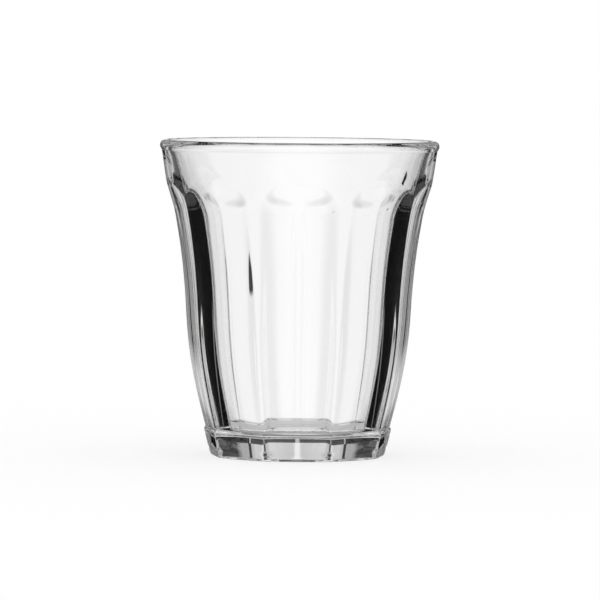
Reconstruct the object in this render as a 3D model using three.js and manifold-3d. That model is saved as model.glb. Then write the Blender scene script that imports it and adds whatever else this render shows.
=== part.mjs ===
// A pressed-glass drinking tumbler: one body of clear glass, in millimetres, +Z up.
// The origin is the middle of the face it stands on. One flute faces -Y.
// Outside, from the top: a rounded rim bead, a plain flared band, nine flat scooped flutes
// that end in arches under the band, and a nine-sided foot block with a small ledge above it.
// Inside: a smooth tapered well that follows the outside, with a rounded corner and a flat floor.
import * as THREE from "three";
import { mergeVertices } from "three/addons/utils/BufferGeometryUtils.js";
import Module from "manifold-3d";

// Overall
const HEIGHT = 90;
const RIM_RADIUS = 39.8;
const FLUTE_COUNT = 9;
const WALL = 5;
const TURN_SEGMENTS = 72;

// Rim bead: an ellipse in section, which starts on the band and ends inside the glass
const RIM_THICKNESS = 2.9;
const BEAD_HEIGHT = 3.1;
const BEAD_START = THREE.MathUtils.degToRad(-50);
const BEAD_END = THREE.MathUtils.degToRad(165);
const BEAD_STEPS = 9;

// Flutes: the ridges between them rise along one S-shaped curve, from the ledge to the shoulder.
// Each reach is the curve's handle at that end, outward and upward.
const SHOULDER_RADIUS = 36.7;
const SHOULDER_HEIGHT = 69;
const SHOULDER_REACH = new THREE.Vector2(6.1, 28.3);
const LEDGE_REACH = new THREE.Vector2(8.6, 30.6);
const RIDGE_BLUNTING = 0.15;
const RIDGE_STEPS = 12;

// Above the shoulder each flute runs out through the band along a scoop
const SCOOP_RADIUS = 16;
const SCOOP_END = THREE.MathUtils.degToRad(46);
const SCOOP_STEPS = 6;

// Foot block, measured at its ridges
const FOOT_HEIGHT = 7.4;
const FOOT_TOP_RADIUS = 27.45;
const FOOT_TAPER = 1.9;
const FOOT_EDGE_RADIUS = 1.25;
const FOOT_EDGE_STEPS = 4;
const LEDGE_WIDTH = 0.5;
const LEDGE_RISE = 0.5;

// Underside: a standing ring round a shallow recess
const RING_WIDTH = 1.6;
const RECESS_DEPTH = 0.9;
const RECESS_SLOPE_WIDTH = 1.2;

// Well
const FLOOR_HEIGHT = 6.8;
const CORNER_RADIUS = 2.4;
const WELL_STEPS = 10;
const CORNER_STEPS = 5;

const halfPitch = Math.PI / FLUTE_COUNT;
const flatShare = Math.cos(halfPitch);
const footBottomRadius = FOOT_TOP_RADIUS - FOOT_TAPER;
const ringOuterRadius = footBottomRadius - FOOT_EDGE_RADIUS;

const ledgePoint = new THREE.Vector2(FOOT_TOP_RADIUS - LEDGE_WIDTH, FOOT_HEIGHT + LEDGE_RISE);
const shoulderPoint = new THREE.Vector2(SHOULDER_RADIUS, SHOULDER_HEIGHT);
const ridgeCurve = new THREE.CubicBezierCurve(
  ledgePoint,
  ledgePoint.clone().add(LEDGE_REACH),
  shoulderPoint.clone().sub(SHOULDER_REACH),
  shoulderPoint,
);

const wasm = await Module();
wasm.setup();

// A closed three.js geometry as a solid: only positions are kept, and shared corners are merged.
function toSolid(geometry) {
  const bare = geometry.clone();
  bare.deleteAttribute("normal");
  bare.deleteAttribute("uv");
  const merged = mergeVertices(bare, 1e-5);
  const vertProperties = new Float32Array(merged.attributes.position.array);
  const triVerts = new Uint32Array(merged.index.array);
  return new wasm.Manifold(new wasm.Mesh({ numProp: 3, vertProperties, triVerts }));
}

// The solid's surface as a three.js geometry again.
function toGeometry(solid) {
  const mesh = solid.getMesh();
  const geometry = new THREE.BufferGeometry();
  geometry.setAttribute("position", new THREE.BufferAttribute(new Float32Array(mesh.vertProperties), 3));
  geometry.setIndex(new THREE.BufferAttribute(new Uint32Array(mesh.triVerts), 1));
  geometry.computeVertexNormals();
  return geometry;
}

// Where along the ridge curve, from 0 to 1, a height is reached. The curve only rises.
function ridgeShareAt(height) {
  let low = 0;
  let high = 1;
  for (let i = 0; i < 40; i += 1) {
    const middle = (low + high) / 2;
    if (ridgeCurve.getPoint(middle).y < height) {
      low = middle;
    } else {
      high = middle;
    }
  }
  return low;
}

// The well, from the rim side down to the axis: the ridge curve moved in by the wall, the corner, the floor.
function wellProfile() {
  const cornerShare = ridgeShareAt(FLOOR_HEIGHT + CORNER_RADIUS);
  const wall = [];
  for (let i = 0; i <= WELL_STEPS; i += 1) {
    const point = ridgeCurve.getPoint(THREE.MathUtils.lerp(1, cornerShare, i / WELL_STEPS));
    wall.push(new THREE.Vector2(point.x - WALL, point.y));
  }
  const cornerTop = wall[WELL_STEPS];
  const lean = ridgeCurve.getTangent(cornerShare);
  const cornerFoot = new THREE.Vector2(cornerTop.x - CORNER_RADIUS * lean.x / lean.y, FLOOR_HEIGHT);
  const floorEdge = new THREE.Vector2(cornerFoot.x - CORNER_RADIUS, FLOOR_HEIGHT);
  const corner = new THREE.QuadraticBezierCurve(cornerTop, cornerFoot, floorEdge);
  return [...wall, ...corner.getPoints(CORNER_STEPS).slice(1), new THREE.Vector2(0, FLOOR_HEIGHT)];
}

// The pressed blank before the flutes: underside, foot, ridges, bead, then down the well.
// The plain band is the cone between the last ridge point and the bead.
function blankProfile() {
  const edge = new THREE.EllipseCurve(
    ringOuterRadius, FOOT_EDGE_RADIUS, FOOT_EDGE_RADIUS, FOOT_EDGE_RADIUS, -Math.PI / 2, 0, false, 0);
  const bead = new THREE.EllipseCurve(
    RIM_RADIUS - RIM_THICKNESS / 2, HEIGHT - BEAD_HEIGHT / 2, RIM_THICKNESS / 2, BEAD_HEIGHT / 2,
    BEAD_START, BEAD_END, false, 0);
  const ridges = ridgeCurve.getPoints(RIDGE_STEPS);
  return [
    new THREE.Vector2(0, RECESS_DEPTH),
    new THREE.Vector2(ringOuterRadius - RING_WIDTH - RECESS_SLOPE_WIDTH, RECESS_DEPTH),
    new THREE.Vector2(ringOuterRadius - RING_WIDTH, 0),
    ...edge.getPoints(FOOT_EDGE_STEPS),
    new THREE.Vector2(FOOT_TOP_RADIUS, FOOT_HEIGHT),
    ...ridges.map((point) => new THREE.Vector2(point.x - RIDGE_BLUNTING, point.y)),
    ...bead.getPoints(BEAD_STEPS),
    ...wellProfile(),
  ];
}

// The section of one flute's cutter: foot facet, ledge, flute floor, scoop, then round the outside.
// A flat flute lies at the ridge radius times the cosine of half the pitch.
function cutterShape() {
  const below = FOOT_HEIGHT;
  const reach = 2 * RIM_RADIUS;
  const shape = new THREE.Shape();
  shape.moveTo((footBottomRadius - FOOT_TAPER * below / FOOT_HEIGHT) * flatShare, -below);
  shape.lineTo(FOOT_TOP_RADIUS * flatShare, FOOT_HEIGHT);
  ridgeCurve.getPoints(RIDGE_STEPS).forEach((point) => shape.lineTo(point.x * flatShare, point.y));
  const lean = Math.atan2(SHOULDER_REACH.x * flatShare, SHOULDER_REACH.y);
  const scoopX = SHOULDER_RADIUS * flatShare + SCOOP_RADIUS * Math.cos(lean);
  const scoopY = SHOULDER_HEIGHT - SCOOP_RADIUS * Math.sin(lean);
  for (let i = 1; i <= SCOOP_STEPS; i += 1) {
    const angle = THREE.MathUtils.lerp(lean, SCOOP_END, i / SCOOP_STEPS);
    shape.lineTo(scoopX - SCOOP_RADIUS * Math.cos(angle), scoopY + SCOOP_RADIUS * Math.sin(angle));
  }
  shape.lineTo(reach, scoopY + SCOOP_RADIUS);
  shape.lineTo(reach, -below);
  shape.closePath();
  return shape;
}

// One cutter: the section stands upright, is drawn out level to both sides, and is turned to its flute.
function fluteCutter(index) {
  const geometry = new THREE.ExtrudeGeometry(
    cutterShape(), { depth: 2 * RIM_RADIUS, bevelEnabled: false, steps: 1 });
  geometry.translate(0, 0, -RIM_RADIUS);
  geometry.rotateX(Math.PI / 2);
  geometry.rotateZ(-Math.PI / 2 + index * 2 * halfPitch);
  return toSolid(geometry);
}

// The profile is turned about Y, and the blank is then stood up on Z.
const blankGeometry = new THREE.LatheGeometry(blankProfile(), TURN_SEGMENTS);
blankGeometry.rotateX(Math.PI / 2);
let glass = toSolid(blankGeometry);
for (let index = 0; index < FLUTE_COUNT; index += 1) {
  glass = glass.subtract(fluteCutter(index));
}

const clearGlass = new THREE.MeshStandardMaterial(
  { name: "clear_pressed_glass", color: 0xf2f5f4, roughness: 0.05, metalness: 0, transparent: true, opacity: 0.35 });
const tumbler = new THREE.Mesh(toGeometry(glass), clearGlass);
tumbler.name = "tumbler";

const object = new THREE.Group();
object.add(tumbler);
export default object;
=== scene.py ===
# %% [markdown]
# # A pressed-glass tumbler on a white table
# The object is one drinking glass, pressed in a single stroke between a mould and a plunger.
# The mould gives the outside: a rounded rim bead, a plain flared band, nine scooped flutes and a
# nine-sided foot. The plunger gives the smooth well inside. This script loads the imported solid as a
# frame, lays a much finer skin of glass over the same sizes, and photographs it in a white studio.

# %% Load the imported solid
import math

import bpy
import numpy as np
from mathutils import Matrix, Vector


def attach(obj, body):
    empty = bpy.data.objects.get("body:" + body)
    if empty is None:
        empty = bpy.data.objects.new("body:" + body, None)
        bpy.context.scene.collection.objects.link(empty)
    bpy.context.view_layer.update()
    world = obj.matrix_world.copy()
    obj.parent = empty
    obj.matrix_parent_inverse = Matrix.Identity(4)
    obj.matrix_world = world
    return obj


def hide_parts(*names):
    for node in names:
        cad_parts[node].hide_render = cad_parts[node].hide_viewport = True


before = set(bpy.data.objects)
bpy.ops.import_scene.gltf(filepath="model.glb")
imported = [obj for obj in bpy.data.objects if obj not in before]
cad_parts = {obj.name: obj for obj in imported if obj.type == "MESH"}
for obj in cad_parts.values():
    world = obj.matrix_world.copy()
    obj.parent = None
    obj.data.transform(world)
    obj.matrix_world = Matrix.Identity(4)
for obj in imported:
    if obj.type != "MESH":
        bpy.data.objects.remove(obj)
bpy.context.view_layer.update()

# %% [markdown]
# ## Sizes of the glass
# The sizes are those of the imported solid, in millimetres, so the skin lies where the solid is.
# The ridges between two flutes rise along one S-shaped curve. A flute is nearly flat across, so its
# middle lies at the ridge radius times the cosine of half a pitch. The solid's bead is made of straight
# steps, so the skin's round bead is two thousandths smaller and stays inside it.

# %% Sizes in millimetres
MM = 0.001
FLUTES = 9
HALF_PITCH = math.pi / FLUTES
FLAT = math.cos(HALF_PITCH)
HEIGHT, RIM_RADIUS, RIM_THICKNESS, BEAD_HEIGHT = 89.998, 39.798, 2.9, 3.1
BEAD_START, BEAD_END = math.radians(-50), math.radians(165)
WALL = 5.0
LEDGE_POINT, LEDGE_HANDLE = (26.95, 7.9), (35.55, 38.5)
SHOULDER_HANDLE, SHOULDER = (30.6, 40.7), (36.7, 69.0)
BAND_FOOT_RADIUS = 36.55
SCOOP_RADIUS, SCOOP_END = 16.0, math.radians(46)
FOOT_HEIGHT, FOOT_TOP, FOOT_BOTTOM, FOOT_EDGE = 7.4, 27.45, 25.55, 1.25
RING_OUTER, RING_INNER, RECESS_RADIUS, RECESS_DEPTH = 24.3, 22.7, 21.5, 0.9
FLOOR_HEIGHT, CORNER = 6.8, 2.4
print("height", HEIGHT, "rim across", 2 * RIM_RADIUS)


# %% [markdown]
# ## The profile curves
# Two curves describe the whole glass in section. The first says how far from the axis the middle of a
# flute lies at each height: foot facet, ledge, the S-curve, then the scoop that runs out through the
# band. The second is the well. Both are drawn as fine polylines and softened a little, because a pressed
# glass is fire-polished after the mould opens and no corner stays sharp.

# %% Profile helpers
def bezier(a, b, c, d, t):
    """Cubic curve from a to d with handles b and c: (1-t)^3 a + 3t(1-t)^2 b + 3t^2(1-t) c + t^3 d."""
    t = np.asarray(t)[:, None]
    a, b, c, d = (np.array(p, float) for p in (a, b, c, d))
    return (1 - t) ** 3 * a + 3 * t * (1 - t) ** 2 * b + 3 * t * t * (1 - t) * c + t ** 3 * d


def soften(values, step, width):
    """Average each value with its neighbours under a bell curve of the given width in millimetres."""
    reach = int(math.ceil(4 * width / step))
    bell = np.exp(-0.5 * (np.arange(-reach, reach + 1) * step / width) ** 2)
    before = 2 * values[0] - values[reach:0:-1]
    after = 2 * values[-1] - values[-2:-reach - 2:-1]
    return np.convolve(np.concatenate([before, values, after]), bell / bell.sum(), "valid")


ridge = bezier(LEDGE_POINT, LEDGE_HANDLE, SHOULDER_HANDLE, SHOULDER, np.linspace(0, 1, 400))
lean = math.atan2((SHOULDER[0] - SHOULDER_HANDLE[0]) * FLAT, SHOULDER[1] - SHOULDER_HANDLE[1])
swing = np.linspace(lean, SCOOP_END, 80)
scoop_x = SHOULDER[0] * FLAT + SCOOP_RADIUS * (math.cos(lean) - np.cos(swing))
scoop_z = SHOULDER[1] + SCOOP_RADIUS * (np.sin(swing) - math.sin(lean))
BEYOND_RIM = 120.0
line_z = np.concatenate([[0.0, FOOT_HEIGHT], ridge[:, 1], scoop_z[1:], [BEYOND_RIM]])
line_r = np.concatenate([[FOOT_BOTTOM * FLAT, FOOT_TOP * FLAT], ridge[:, 0] * FLAT, scoop_x[1:],
                         [scoop_x[-1] + math.tan(SCOOP_END) * (BEYOND_RIM - scoop_z[-1])]])
GRID_STEP, FLUTE_SOFTNESS, WELL_SOFTNESS = 0.05, 0.22, 1.6
GRID = np.arange(0, 100.001, GRID_STEP)
FLUTE_LINE = soften(np.interp(GRID, line_z, line_r), GRID_STEP, FLUTE_SOFTNESS)

well_top = (RIM_RADIUS - RIM_THICKNESS / 2 * (1 - math.cos(BEAD_END)),
            HEIGHT - BEAD_HEIGHT / 2 * (1 - math.sin(BEAD_END)))
inner_z = np.append(ridge[:, 1], well_top[1])
inner_r = np.append(ridge[:, 0] - WALL, well_top[0])
WELL_LINE = soften(np.interp(GRID, inner_z, inner_r), GRID_STEP, WELL_SOFTNESS)
print("flute middle at half height", np.interp(HEIGHT / 2, GRID, FLUTE_LINE))
print("well at half height", np.interp(HEIGHT / 2, GRID, WELL_LINE))


# %% [markdown]
# ## The outside
# A flute is very slightly hollow across, so each is an arc of a large circle that stands outside the
# glass. Where two arcs meet they make a ridge, and where an arc meets the plain cone of the band they
# make an arch. Both edges are rounded with a smooth minimum, which is how a fire-polished edge looks.

# %% Outside surface
FLUTE_HOLLOW_RADIUS = 260.0
RIDGE_ROUNDING_LOW, RIDGE_ROUNDING_HIGH = 0.9, 2.3
ARCH_ROUNDING_RIDGE, ARCH_ROUNDING_CROWN = 1.5, 3.5
RIDGE_ROUNDING_HEIGHTS, ARCH_FADE_HEIGHTS = [33, 69], [52, 64]
FOOT_EDGE_ROUNDING = 0.3
BEAD_FILLET = 0.35


def smooth_min(a, b, k):
    """The smaller of two radii, with the corner where they are equal filled by a parabola of width k."""
    h = np.clip(0.5 + 0.5 * (b - a) / k, 0, 1)
    return b * (1 - h) + a * h - k * h * (1 - h)


def flute_arc(angle, ridge_radius, hollow):
    """Distance from the axis to a hollow arc that passes through both ridges of a flute at ridge_radius."""
    s = ridge_radius * math.sin(HALF_PITCH)
    centre = ridge_radius * FLAT + np.sqrt(hollow ** 2 - s ** 2)
    return centre * np.cos(angle) - np.sqrt(hollow ** 2 - (centre * np.sin(angle)) ** 2)


def band_radius(z):
    """The plain cone from shoulder to rim, or the bead's flank r = R - T/2 (1 - sqrt(1 - rise^2)) if wider."""
    top_r = RIM_RADIUS - RIM_THICKNESS / 2 * (1 - math.cos(BEAD_START))
    top_z = HEIGHT - BEAD_HEIGHT / 2 * (1 - math.sin(BEAD_START))
    cone = BAND_FOOT_RADIUS + (top_r - BAND_FOOT_RADIUS) * (z - SHOULDER[1]) / (top_z - SHOULDER[1])
    rise = np.clip((z - HEIGHT) / (BEAD_HEIGHT / 2) + 1, -1, 1)
    bead = RIM_RADIUS - RIM_THICKNESS / 2 * (1 - np.sqrt(1 - rise ** 2))
    return -smooth_min(-cone, -np.where(rise > -1, bead, 0), BEAD_FILLET)


def outside_radius(theta, z):
    """Outside radius at an angle and a height: smooth minimum of two flute arcs, the band and the foot edge."""
    angle = np.abs((theta + HALF_PITCH) % (2 * HALF_PITCH) - HALF_PITCH)
    ridge_radius = np.interp(z, GRID, FLUTE_LINE) / FLAT
    here = flute_arc(angle, ridge_radius, FLUTE_HOLLOW_RADIUS)
    next_one = flute_arc(2 * HALF_PITCH - angle, ridge_radius, FLUTE_HOLLOW_RADIUS)
    ridge_rounding = np.interp(z, RIDGE_ROUNDING_HEIGHTS, [RIDGE_ROUNDING_LOW, RIDGE_ROUNDING_HIGH])
    fluted = smooth_min(here, next_one, ridge_rounding)
    arch_rounding = np.interp(angle / HALF_PITCH, [0, 1], [ARCH_ROUNDING_CROWN, ARCH_ROUNDING_RIDGE])
    arched = smooth_min(fluted, band_radius(z), arch_rounding)
    radius = fluted + (arched - fluted) * np.interp(z, ARCH_FADE_HEIGHTS, [0, 1])
    low = np.clip(FOOT_EDGE - z, 0, FOOT_EDGE)
    edge = RING_OUTER + np.sqrt(FOOT_EDGE ** 2 - low ** 2)
    return np.where(z < FOOT_EDGE + 1.0, smooth_min(radius, edge, FOOT_EDGE_ROUNDING), radius)


# %% [markdown]
# ## One closed skin
# The skin is a grid: each row is a ring round the axis and the columns are the angles. The rows run from
# the middle of the underside, up the outside, over the rim and down the well to the middle of the floor.
# Rows crowd where the profile bends, and columns crowd at the ridges. A fan of triangles closes each end.

# %% Rows of the skin
COLUMNS = 40
u = np.linspace(-1, 1, COLUMNS, endpoint=False)
one = HALF_PITCH * (0.5 * u + 0.5 * np.sin(math.pi * u / 2))
theta = (one[None, :] + 2 * HALF_PITCH * np.arange(FLUTES)[:, None]).ravel()

edge_turn = np.linspace(0, math.pi / 2, 18)
out_z = np.concatenate([FOOT_EDGE * (1 - np.cos(edge_turn)), np.linspace(1.5, 6.9, 10),
                        np.linspace(7.05, 8.5, 16), np.linspace(9.0, 65, 52), np.linspace(66, 80, 44),
                        np.linspace(81, 86, 6), np.linspace(86.3, HEIGHT - BEAD_HEIGHT / 2, 16)])
BEAD_TRIM = 0.12
bead_turn = np.linspace(BEAD_TRIM, BEAD_END - BEAD_TRIM, 24)
bead_r = RIM_RADIUS - RIM_THICKNESS / 2 * (1 - np.cos(bead_turn))
bead_z = HEIGHT - BEAD_HEIGHT / 2 * (1 - np.sin(bead_turn))
corner_z = FLOOR_HEIGHT + CORNER
well_z = np.concatenate([np.linspace(well_top[1] - 0.6, 70, 15), np.linspace(68.8, corner_z, 41)])
well_r = np.interp(well_z, GRID, WELL_LINE)
slope = (np.interp(corner_z + 0.5, GRID, WELL_LINE) - np.interp(corner_z, GRID, WELL_LINE)) / 0.5
corner_foot = well_r[-1] - CORNER * slope
t = np.linspace(0, 1, 16)[1:]
corner_r = (1 - t) ** 2 * well_r[-1] + 2 * t * (1 - t) * corner_foot + t * t * (corner_foot - CORNER)
corner_h = (1 - t) ** 2 * corner_z + (1 - (1 - t) ** 2) * FLOOR_HEIGHT
floor_r = np.linspace(corner_r[-1], 0, 7)[1:-1]
slope_start = RECESS_RADIUS - 0.4
under_r = np.concatenate([np.linspace(0, RECESS_RADIUS - 0.8, 7)[1:], np.linspace(slope_start, RING_INNER, 8)])
down = np.clip((under_r - slope_start) / (RING_INNER - slope_start), 0, 1)
under_z = RECESS_DEPTH * (0.5 + 0.5 * np.cos(math.pi * down))


def ring(radii, heights):
    """Rings that are the same all round: each radius and height repeated for every column."""
    return tuple(np.repeat(np.asarray(values)[:, None], len(theta), 1) for values in (radii, heights))


outer_z = np.repeat(out_z[:, None], len(theta), 1)
outer_r = outside_radius(np.repeat(theta[None, :], len(out_z), 0), outer_z)
parts = [ring(under_r, under_z), (outer_r, outer_z), ring(bead_r, bead_z), ring(well_r, well_z),
         ring(corner_r, corner_h), ring(floor_r, np.full(len(floor_r), FLOOR_HEIGHT))]
R = np.vstack([p[0] for p in parts])
Z = np.vstack([p[1] for p in parts])
print("rows", R.shape[0], "columns", R.shape[1])


# %% Mesh from the grid
def grid_mesh(name, radius, height, angles, low_pole, high_pole):
    """A closed mesh from rings: quads between rings, and a fan from the first and last ring to a pole."""
    rows, cols = radius.shape
    a = np.repeat((angles - math.pi / 2)[None, :], rows, 0)
    points = np.stack([radius * np.cos(a), radius * np.sin(a), height], -1).reshape(-1, 3)
    points = np.vstack([points, [[0, 0, low_pole], [0, 0, high_pole]]]) * MM
    i, j = np.arange(rows - 1)[:, None] * cols, np.arange(cols)[None, :]
    k = (j + 1) % cols
    quads = np.stack([i + j, i + k, i + cols + k, i + cols + j], -1).reshape(-1, 4)
    low = np.stack([np.full(cols, rows * cols), k[0], j[0]], -1)
    last = (rows - 1) * cols
    high = np.stack([np.full(cols, rows * cols + 1), last + j[0], last + k[0]], -1)
    mesh = bpy.data.meshes.new(name)
    mesh.from_pydata(points, [], [*quads.tolist(), *low.tolist(), *high.tolist()])
    mesh.polygons.foreach_set("use_smooth", np.ones(len(mesh.polygons), bool))
    mesh.update()
    return mesh


skin_mesh = grid_mesh("tumbler_glass", R, Z, theta, RECESS_DEPTH, FLOOR_HEIGHT)
skin = bpy.data.objects.new("tumbler_glass", skin_mesh)
bpy.context.scene.collection.objects.link(skin)
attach(skin, "root")
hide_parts("tumbler")
print("triangles", len(skin_mesh.loops) - 2 * len(skin_mesh.polygons))


# %% [markdown]
# ## Clear soda-lime glass, pressed and fire-polished
# Soda-lime glass is nearly colourless, with a breath of green in thick places, and its index is about
# 1.51 to 1.52. Pressing leaves the skin very slightly uneven, in waves a centimetre or so long, which bends
# the streaks of light; fire-polishing leaves it glossy. A faint bump gives the waves.

# %% Glass material
def linear(hex_colour):
    """An sRGB hex colour as linear red, green, blue and alpha."""
    c = np.array([int(hex_colour[i:i + 2], 16) for i in (1, 3, 5)]) / 255
    return (*np.where(c <= 0.04045, c / 12.92, ((c + 0.055) / 1.055) ** 2.4), 1.0)


def add(tree, kind, inputs=None, **settings):
    """Add a node with its settings. Each of its inputs is given a socket to link or a plain value."""
    node = tree.nodes.new(kind)
    for name, value in settings.items():
        setattr(node, name, value)
    for name, value in (inputs or {}).items():
        if isinstance(value, bpy.types.NodeSocket):
            tree.links.new(value, node.inputs[name])
        else:
            node.inputs[name].default_value = value
    return node


def fresh_material(name):
    """An empty node material."""
    material = bpy.data.materials.new(name)
    material.use_nodes = True
    material.node_tree.nodes.clear()
    return material


glass = fresh_material("clear_soda_lime_glass")
tree = glass.node_tree
coords = add(tree, "ShaderNodeTexCoord")
waves = add(tree, "ShaderNodeTexNoise",
            {"Vector": coords.outputs["Object"], "Scale": 1 / (14 * MM), "Detail": 1.5, "Roughness": 0.45})
bump = add(tree, "ShaderNodeBump", {"Height": waves.outputs["Fac"], "Strength": 0.12, "Distance": 0.2 * MM})
shader = add(tree, "ShaderNodeBsdfPrincipled",
             {"Normal": bump.outputs["Normal"], "Base Color": linear("#FFFFFF"), "Roughness": 0.0,
              "IOR": 1.51, "Transmission Weight": 1.0})
add(tree, "ShaderNodeOutputMaterial", {"Surface": shader.outputs["BSDF"]})
skin.data.materials.append(glass)
print("glass index", shader.inputs["IOR"].default_value)


# %% [markdown]
# ## White studio with black boards
# Clear glass is photographed against a bright field. Everything behind it is white, and black boards stand to
# the left and right. Light that goes straight through a wall shows the white. Light that is caught in a wall and
# bounces along it leaves to the side and shows the boards, so the thick edges of the glass turn black.
# Two narrow strips nearer the middle draw the outlines. Tall boards darken the facets of the foot, and a grey
# hood above the backdrop darkens the floor of the glass. Light that bounces twice sees a dark room, and light
# that bounces more often, as in the rim bead, sees an even grey.
# Sheets of real card would also stand behind the glass when it is seen from the side. So the boards are painted
# into the world and the floor, where Light Path counts the bounces: only light that has been through the glass
# sees them, and the camera and the paper see plain white.

# %% Helpers for the boards
def board(tree, angle, start, full, fade, end):
    """How black a board is at an angle: a ramp up from start to full times a ramp down from fade to end."""
    rise = add(tree, "ShaderNodeMapRange", {"Value": angle, "From Min": start, "From Max": full})
    fall = add(tree, "ShaderNodeMapRange", {"Value": angle, "From Min": end, "From Max": fade})
    both = add(tree, "ShaderNodeMath", {0: rise.outputs[0], 1: fall.outputs[0]}, operation="MULTIPLY")
    return both.outputs[0]


def compass(tree, place):
    """Degrees round the glass from straight behind it: 0 behind, -90 left, 90 right, 180 at the camera."""
    axes = add(tree, "ShaderNodeSeparateXYZ", {"Vector": place})
    turn = add(tree, "ShaderNodeMath", {0: axes.outputs["X"], 1: axes.outputs["Y"]}, operation="ARCTAN2")
    turn = add(tree, "ShaderNodeMath", {0: turn.outputs[0]}, operation="DEGREES").outputs[0]
    aside = add(tree, "ShaderNodeMath", {0: turn}, operation="ABSOLUTE").outputs[0]
    return turn, aside, axes.outputs["Z"]


def caught(tree, path, boards, room):
    """How dark it is for light that bounced: once, the boards; twice, the room; more often, an even grey."""
    twice = add(tree, "ShaderNodeMath", {0: path.outputs["Glossy Depth"], 1: 1.5}, operation="GREATER_THAN")
    often = add(tree, "ShaderNodeMath", {0: path.outputs["Glossy Depth"], 1: 2.5}, operation="GREATER_THAN")
    few = add(tree, "ShaderNodeMix", {0: twice.outputs[0], 2: boards, 3: room})
    return add(tree, "ShaderNodeMix", {0: often.outputs[0], 2: few.outputs[0], 3: DEEP_GREY}).outputs[0]


DEEP_GREY = 0.42
BOARDS_BEHIND = (29, 34, 75, 85)
STRIPS_BEHIND = (5, 7, 25, 28)
BOARDS_BESIDE = (70, 80, 140, 165)
TALL_BOARDS = (20, 25, 70, 80)
RIGHT_CARD = (16.8, 18.0, 21, 23)
RIGHT_CARD_REACH = (0.93, 1.05, 1.95, 2.15)
# FALLOFF paints a soft shade on the world and the paper for light through the glass, up to 0.12 darker from 11
# to 19 degrees to either side.
FALLOFF = {"From Min": 11, "From Max": 19, "To Max": 0.12}
LIFT = 0.7
print("boards behind from", BOARDS_BEHIND[1], "to", BOARDS_BEHIND[2], "degrees on both sides")

# %% World: what straight light sees
world = bpy.data.worlds.new("white_studio")
world.use_nodes = True
bpy.context.scene.world = world
tree = world.node_tree
tree.nodes.clear()
coords = add(tree, "ShaderNodeTexCoord")
path = add(tree, "ShaderNodeLightPath")
_, aside, up = compass(tree, coords.outputs["Generated"])
# Painted shade for light straight through the glass: tall boards to the sides above the horizon, a grey ceiling
# above, paler straight behind, and a soft falloff to the sides.
above = add(tree, "ShaderNodeMapRange", {"Value": up, "From Min": 0.04, "From Max": 0.1, "To Max": 0.98})
# Painted shade: beyond 44.5 degrees the tall boards are only 0.6 as dark as they are up to 42.5 degrees.
paler_board_shade = add(tree, "ShaderNodeMapRange",
           {"Value": aside, "From Min": 42.5, "From Max": 44.5, "To Min": 1.0, "To Max": 0.6})
tall = add(tree, "ShaderNodeMath",
           {0: board(tree, aside, *TALL_BOARDS), 1: above.outputs[0]}, operation="MULTIPLY")
tall = add(tree, "ShaderNodeMath", {0: tall.outputs[0], 1: paler_board_shade.outputs[0]}, operation="MULTIPLY")
high = add(tree, "ShaderNodeMapRange", {"Value": up, "From Min": 0.08, "From Max": 0.16, "To Max": 0.5})
open_middle = add(tree, "ShaderNodeMapRange",
                  {"Value": aside, "From Min": 6, "From Max": 14, "To Min": 0.3})
ceiling = add(tree, "ShaderNodeMath", {0: high.outputs[0], 1: open_middle.outputs[0]}, operation="MULTIPLY")
dark = add(tree, "ShaderNodeMath", {0: tall.outputs[0], 1: ceiling.outputs[0]}, operation="MAXIMUM")
soft = add(tree, "ShaderNodeMapRange", {"Value": aside, **FALLOFF})
dark = add(tree, "ShaderNodeMath", {0: dark.outputs[0], 1: soft.outputs[0]}, operation="MAXIMUM")
straight = add(tree, "ShaderNodeMath",
               {0: dark.outputs[0], 1: path.outputs["Is Transmission Ray"]}, operation="MULTIPLY")
print("world nodes for straight light", len(tree.nodes))

# %% World: what bounced light sees
bounced = add(tree, "ShaderNodeMath", {0: path.outputs["Glossy Depth"], 1: 0.5}, operation="GREATER_THAN")
low = add(tree, "ShaderNodeMapRange", {"Value": up, "From Min": 0.2, "From Max": 0.1, "To Max": 0.95})
strips = add(tree, "ShaderNodeMath",
             {0: board(tree, aside, *STRIPS_BEHIND), 1: low.outputs[0]}, operation="MULTIPLY")
boards = add(tree, "ShaderNodeMath",
             {0: board(tree, aside, *BOARDS_BEHIND), 1: strips.outputs[0]}, operation="MAXIMUM")
behind = add(tree, "ShaderNodeMapRange", {"Value": aside, "From Min": 90, "From Max": 60, "To Max": 0.8})
raised = add(tree, "ShaderNodeMapRange", {"Value": up, "From Min": 0.03, "From Max": 0.12})
hood = add(tree, "ShaderNodeMath", {0: raised.outputs[0], 1: behind.outputs[0]}, operation="MULTIPLY")
boards = add(tree, "ShaderNodeMath", {0: boards.outputs[0], 1: hood.outputs[0]}, operation="MAXIMUM")
inside = caught(tree, path, boards.outputs[0], low.outputs[0])
shade = add(tree, "ShaderNodeMix", {0: bounced.outputs[0], 2: straight.outputs[0], 3: inside})
bright = add(tree, "ShaderNodeMath", {0: 1.0, 1: shade.outputs[0]}, operation="SUBTRACT")
light = add(tree, "ShaderNodeBackground", {"Color": bright.outputs[0], "Strength": 1.0})
add(tree, "ShaderNodeOutputWorld", {"Surface": light.outputs["Background"]})
print("world nodes", len(tree.nodes))
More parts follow.
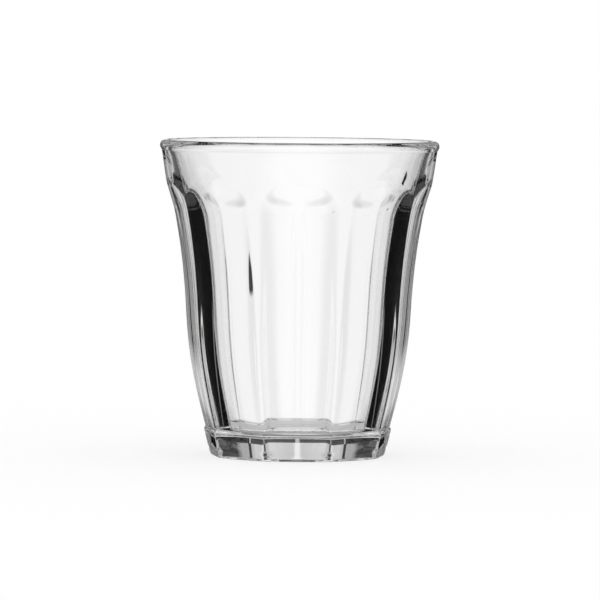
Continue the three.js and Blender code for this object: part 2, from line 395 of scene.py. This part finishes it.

# %% [markdown]
# ## The paper floor
# The floor is a sheet of matt white paper without an end. It keeps a soft shadow of the glass, which is lifted
# towards white for the camera as an overexposed backdrop would. The painted boards and strips continue on it,
# because most light that leaves a slanting wall leaves downwards. One card is painted far back on the right,
# seen only through the glass, and shows as a dark sliver in the wall on the left. Close to the foot a painted
# shadow makes the paper greyer for light seen through the glass, on top of the lifted real shadow.

# %% Floor: what straight light sees
paper = fresh_material("matt_white_paper")
tree = paper.node_tree
coords = add(tree, "ShaderNodeTexCoord")
path = add(tree, "ShaderNodeLightPath")
turn, aside, _ = compass(tree, coords.outputs["Object"])
away = add(tree, "ShaderNodeVectorMath", {0: coords.outputs["Object"]}, operation="LENGTH").outputs["Value"]
# Painted card: seen only through the glass, the paper is black in a narrow wedge far back on the right.
card = add(tree, "ShaderNodeMath",
           {0: board(tree, turn, *RIGHT_CARD), 1: board(tree, away, *RIGHT_CARD_REACH)}, operation="MULTIPLY")
# Painted shadow: seen through the glass, the paper darkens by up to 0.42 within 0.125 m of the glass's axis.
painted_shadow_near_foot = add(tree, "ShaderNodeMapRange", {"Value": away, "From Min": 0.125, "From Max": 0.05, "To Max": 0.42})
dark = add(tree, "ShaderNodeMath", {0: card.outputs[0], 1: painted_shadow_near_foot.outputs[0]}, operation="MAXIMUM")
# Painted shade: seen through the glass, the paper darkens towards the sides as the backdrop's light falls off.
soft = add(tree, "ShaderNodeMapRange", {"Value": aside, **FALLOFF})
dark = add(tree, "ShaderNodeMath", {0: dark.outputs[0], 1: soft.outputs[0]}, operation="MAXIMUM")
straight = add(tree, "ShaderNodeMath",
               {0: dark.outputs[0], 1: path.outputs["Is Transmission Ray"]}, operation="MULTIPLY")
print("floor nodes for straight light", len(tree.nodes))

# %% Floor: what bounced light sees
close_by = add(tree, "ShaderNodeMapRange", {"Value": away, "From Min": 0.6, "From Max": 0.3})
beside = add(tree, "ShaderNodeMath",
             {0: board(tree, aside, *BOARDS_BESIDE), 1: close_by.outputs[0]}, operation="MULTIPLY")
boards = add(tree, "ShaderNodeMath",
             {0: board(tree, aside, *BOARDS_BEHIND), 1: beside.outputs[0]}, operation="MAXIMUM")
bounced = add(tree, "ShaderNodeMath", {0: path.outputs["Glossy Depth"], 1: 0.5}, operation="GREATER_THAN")
far = add(tree, "ShaderNodeMapRange", {"Value": away, "From Min": 0.2, "From Max": 0.35, "To Max": 0.95})
strips = add(tree, "ShaderNodeMath",
             {0: board(tree, aside, *STRIPS_BEHIND), 1: far.outputs[0]}, operation="MULTIPLY")
boards = add(tree, "ShaderNodeMath", {0: boards.outputs[0], 1: strips.outputs[0]}, operation="MAXIMUM")
inside = caught(tree, path, boards.outputs[0], far.outputs[0])
shade = add(tree, "ShaderNodeMix", {0: bounced.outputs[0], 2: straight.outputs[0], 3: inside})
print("floor nodes for both", len(tree.nodes))

# %% Floor: paper, white and black together
matt = add(tree, "ShaderNodeBsdfDiffuse", {"Color": linear("#FEFEFE")})
lit = add(tree, "ShaderNodeEmission", {"Color": linear("#FFFFFF"), "Strength": 1.0})
black = add(tree, "ShaderNodeEmission", {"Color": linear("#0A0A0A"), "Strength": 1.0})
looked_at = add(tree, "ShaderNodeMath",
                {0: path.outputs["Is Camera Ray"], 1: path.outputs["Is Transmission Ray"]}, operation="MAXIMUM")
lift = add(tree, "ShaderNodeMath", {0: looked_at.outputs[0], 1: LIFT}, operation="MULTIPLY")
pale = add(tree, "ShaderNodeMixShader",
           {0: lift.outputs[0], 1: matt.outputs["BSDF"], 2: lit.outputs["Emission"]})
seen = add(tree, "ShaderNodeMixShader",
           {0: shade.outputs[0], 1: pale.outputs["Shader"], 2: black.outputs["Emission"]})
add(tree, "ShaderNodeOutputMaterial", {"Surface": seen.outputs["Shader"]})

# %% Floor sheet
HALF_FLOOR = 8
sheet = bpy.data.meshes.new("floor")
corners = [(x * HALF_FLOOR, y * HALF_FLOOR, 0) for x, y in ((-1, -1), (1, -1), (1, 1), (-1, 1))]
sheet.from_pydata(corners, [], [(0, 1, 2, 3)])
sheet.materials.append(paper)
floor = bpy.data.objects.new("floor", sheet)
bpy.context.scene.collection.objects.link(floor)
print("floor nodes", len(tree.nodes))

# %% [markdown]
# ## Camera
# The photograph looks almost level, from a little above the rim, with a long lens, so the ellipses are thin.
# The picture leans by about half a degree, so the camera is rolled by as much.

# %% Camera and settings
scene = bpy.context.scene
lens = bpy.data.cameras.new("camera")
camera = bpy.data.objects.new("camera", lens)
scene.collection.objects.link(camera)
scene.camera = camera
target = Vector((0.00042, 0, 0.0444))
camera.location = (0.00042, -1.512, 0.1242)
aim = (target - camera.location).to_track_quat("-Z", "Y").to_matrix()
camera.rotation_euler = (aim @ Matrix.Rotation(math.radians(0.45), 3, "Z")).to_euler()
lens.sensor_width = 36
lens.lens = 318.5
scene.view_settings.view_transform = "Standard"
scene.cycles.max_bounces = 24
scene.cycles.transmission_bounces = 24
scene.cycles.glossy_bounces = 16
print("camera distance", (target - camera.location).length)
